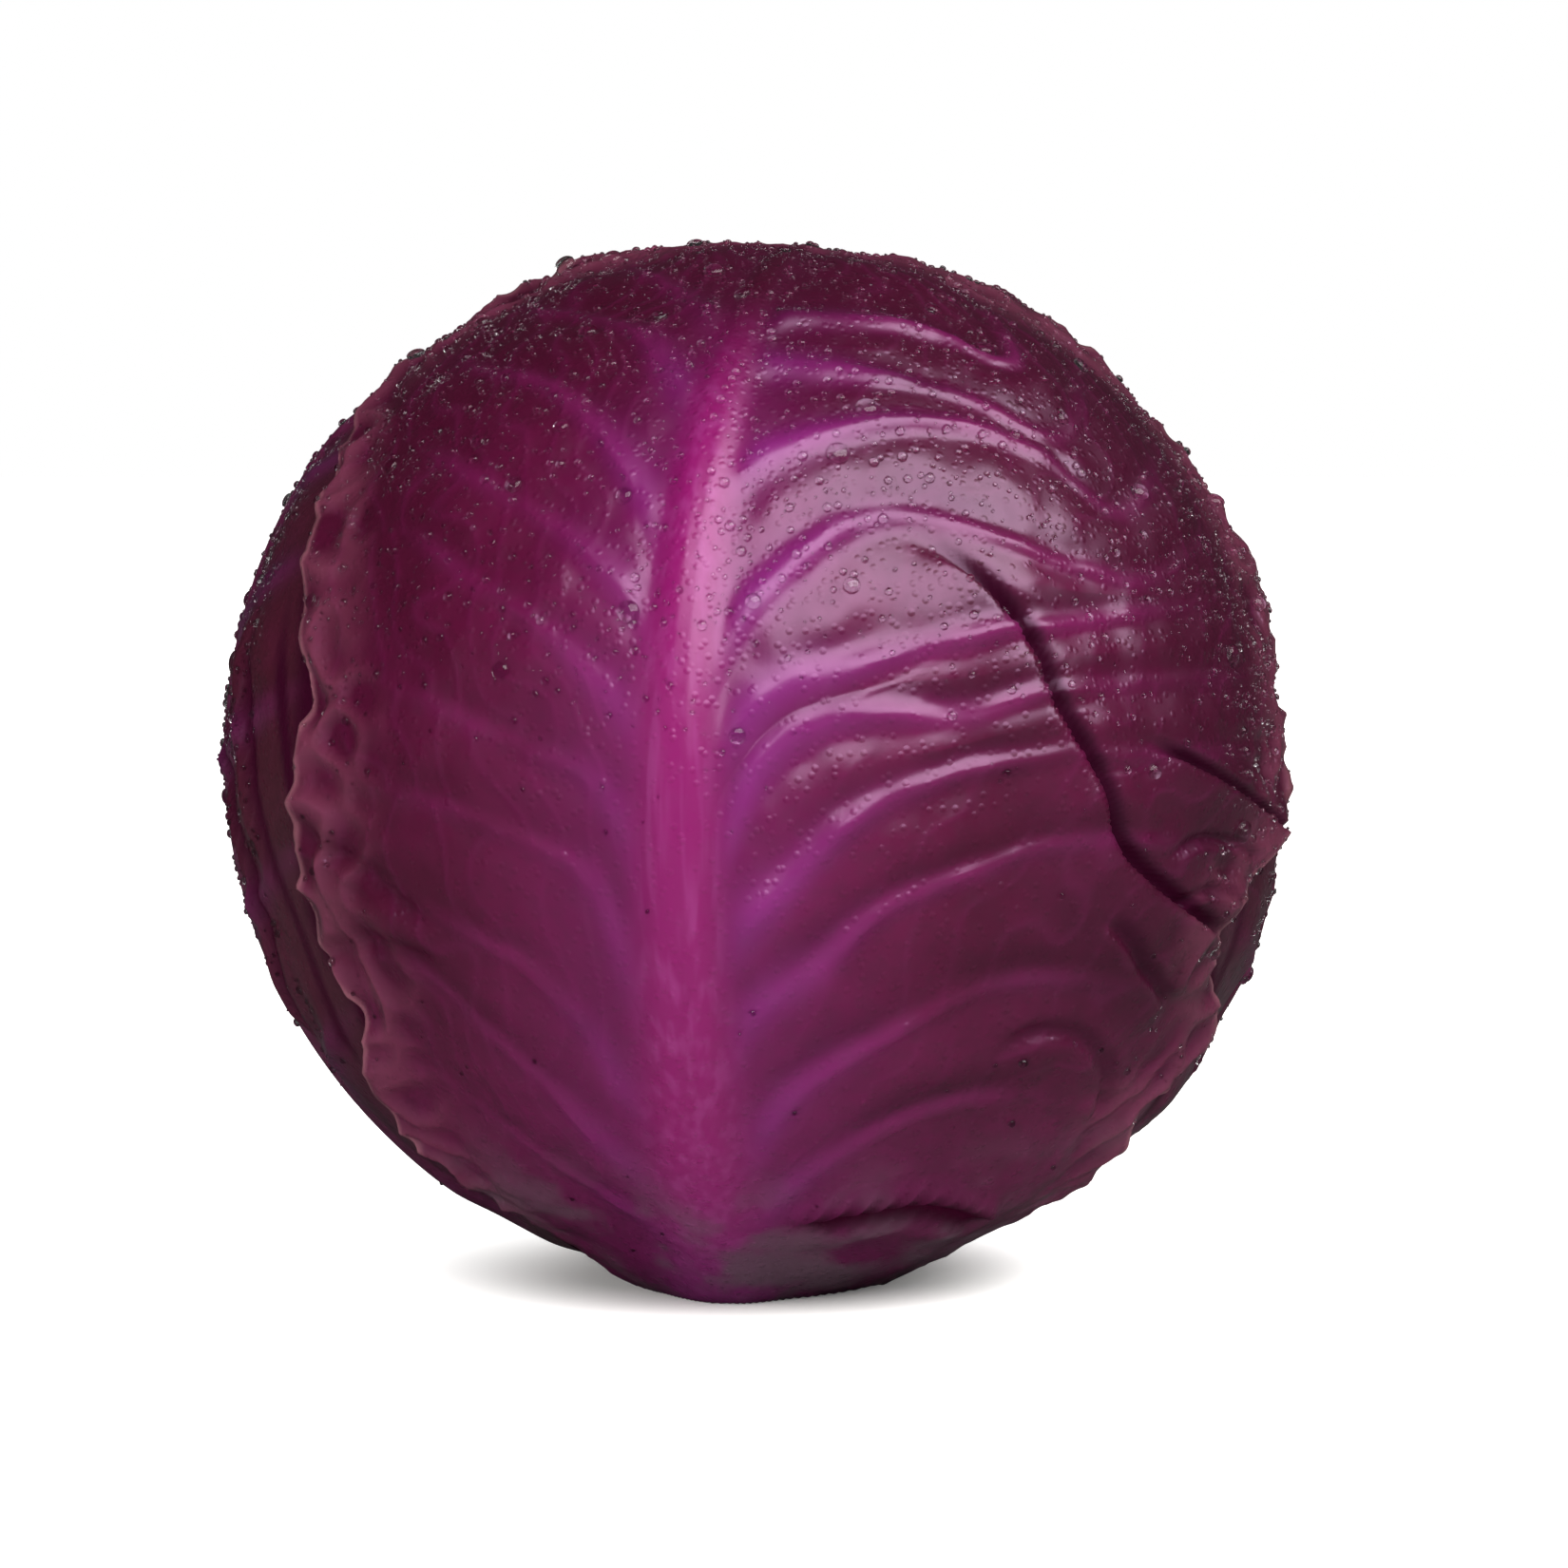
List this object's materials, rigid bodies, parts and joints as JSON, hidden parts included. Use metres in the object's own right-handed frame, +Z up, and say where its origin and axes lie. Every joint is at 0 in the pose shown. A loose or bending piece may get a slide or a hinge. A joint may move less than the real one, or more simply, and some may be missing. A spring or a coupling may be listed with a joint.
{
  "type": "red cabbage head",
  "caption": "Round head of red cabbage, closed by broad ribbed wrapper leaves with waved margins, standing on its flat cut stem.",
  "frame": {"origin": "middle of the stem's flat cut face, which the head stands on", "axes": "+Z up along the stem to the crown, -Y out through the face of the front leaf, +X to the right of it seen from the front"},
  "size_m": [0.153, 0.1544, 0.1486],
  "materials": {
    "leaf_blade": "waxy wet leaf, plum with magenta ribs",
    "heart_leaf": "packed inner leaves, satin",
    "stem_flesh": "cut stem, moist and matt"
  },
  "bodies": {
    "root": {"stem_stump": "stem_flesh", "heart": "heart_leaf", "leaf_1_front": "leaf_blade", "leaf_2_back_right": "leaf_blade", "leaf_3_left": "leaf_blade", "leaf_4_front_right": "leaf_blade", "leaf_5_back": "leaf_blade", "leaf_6_front_left": "leaf_blade"}
  },
  "joints": []
}
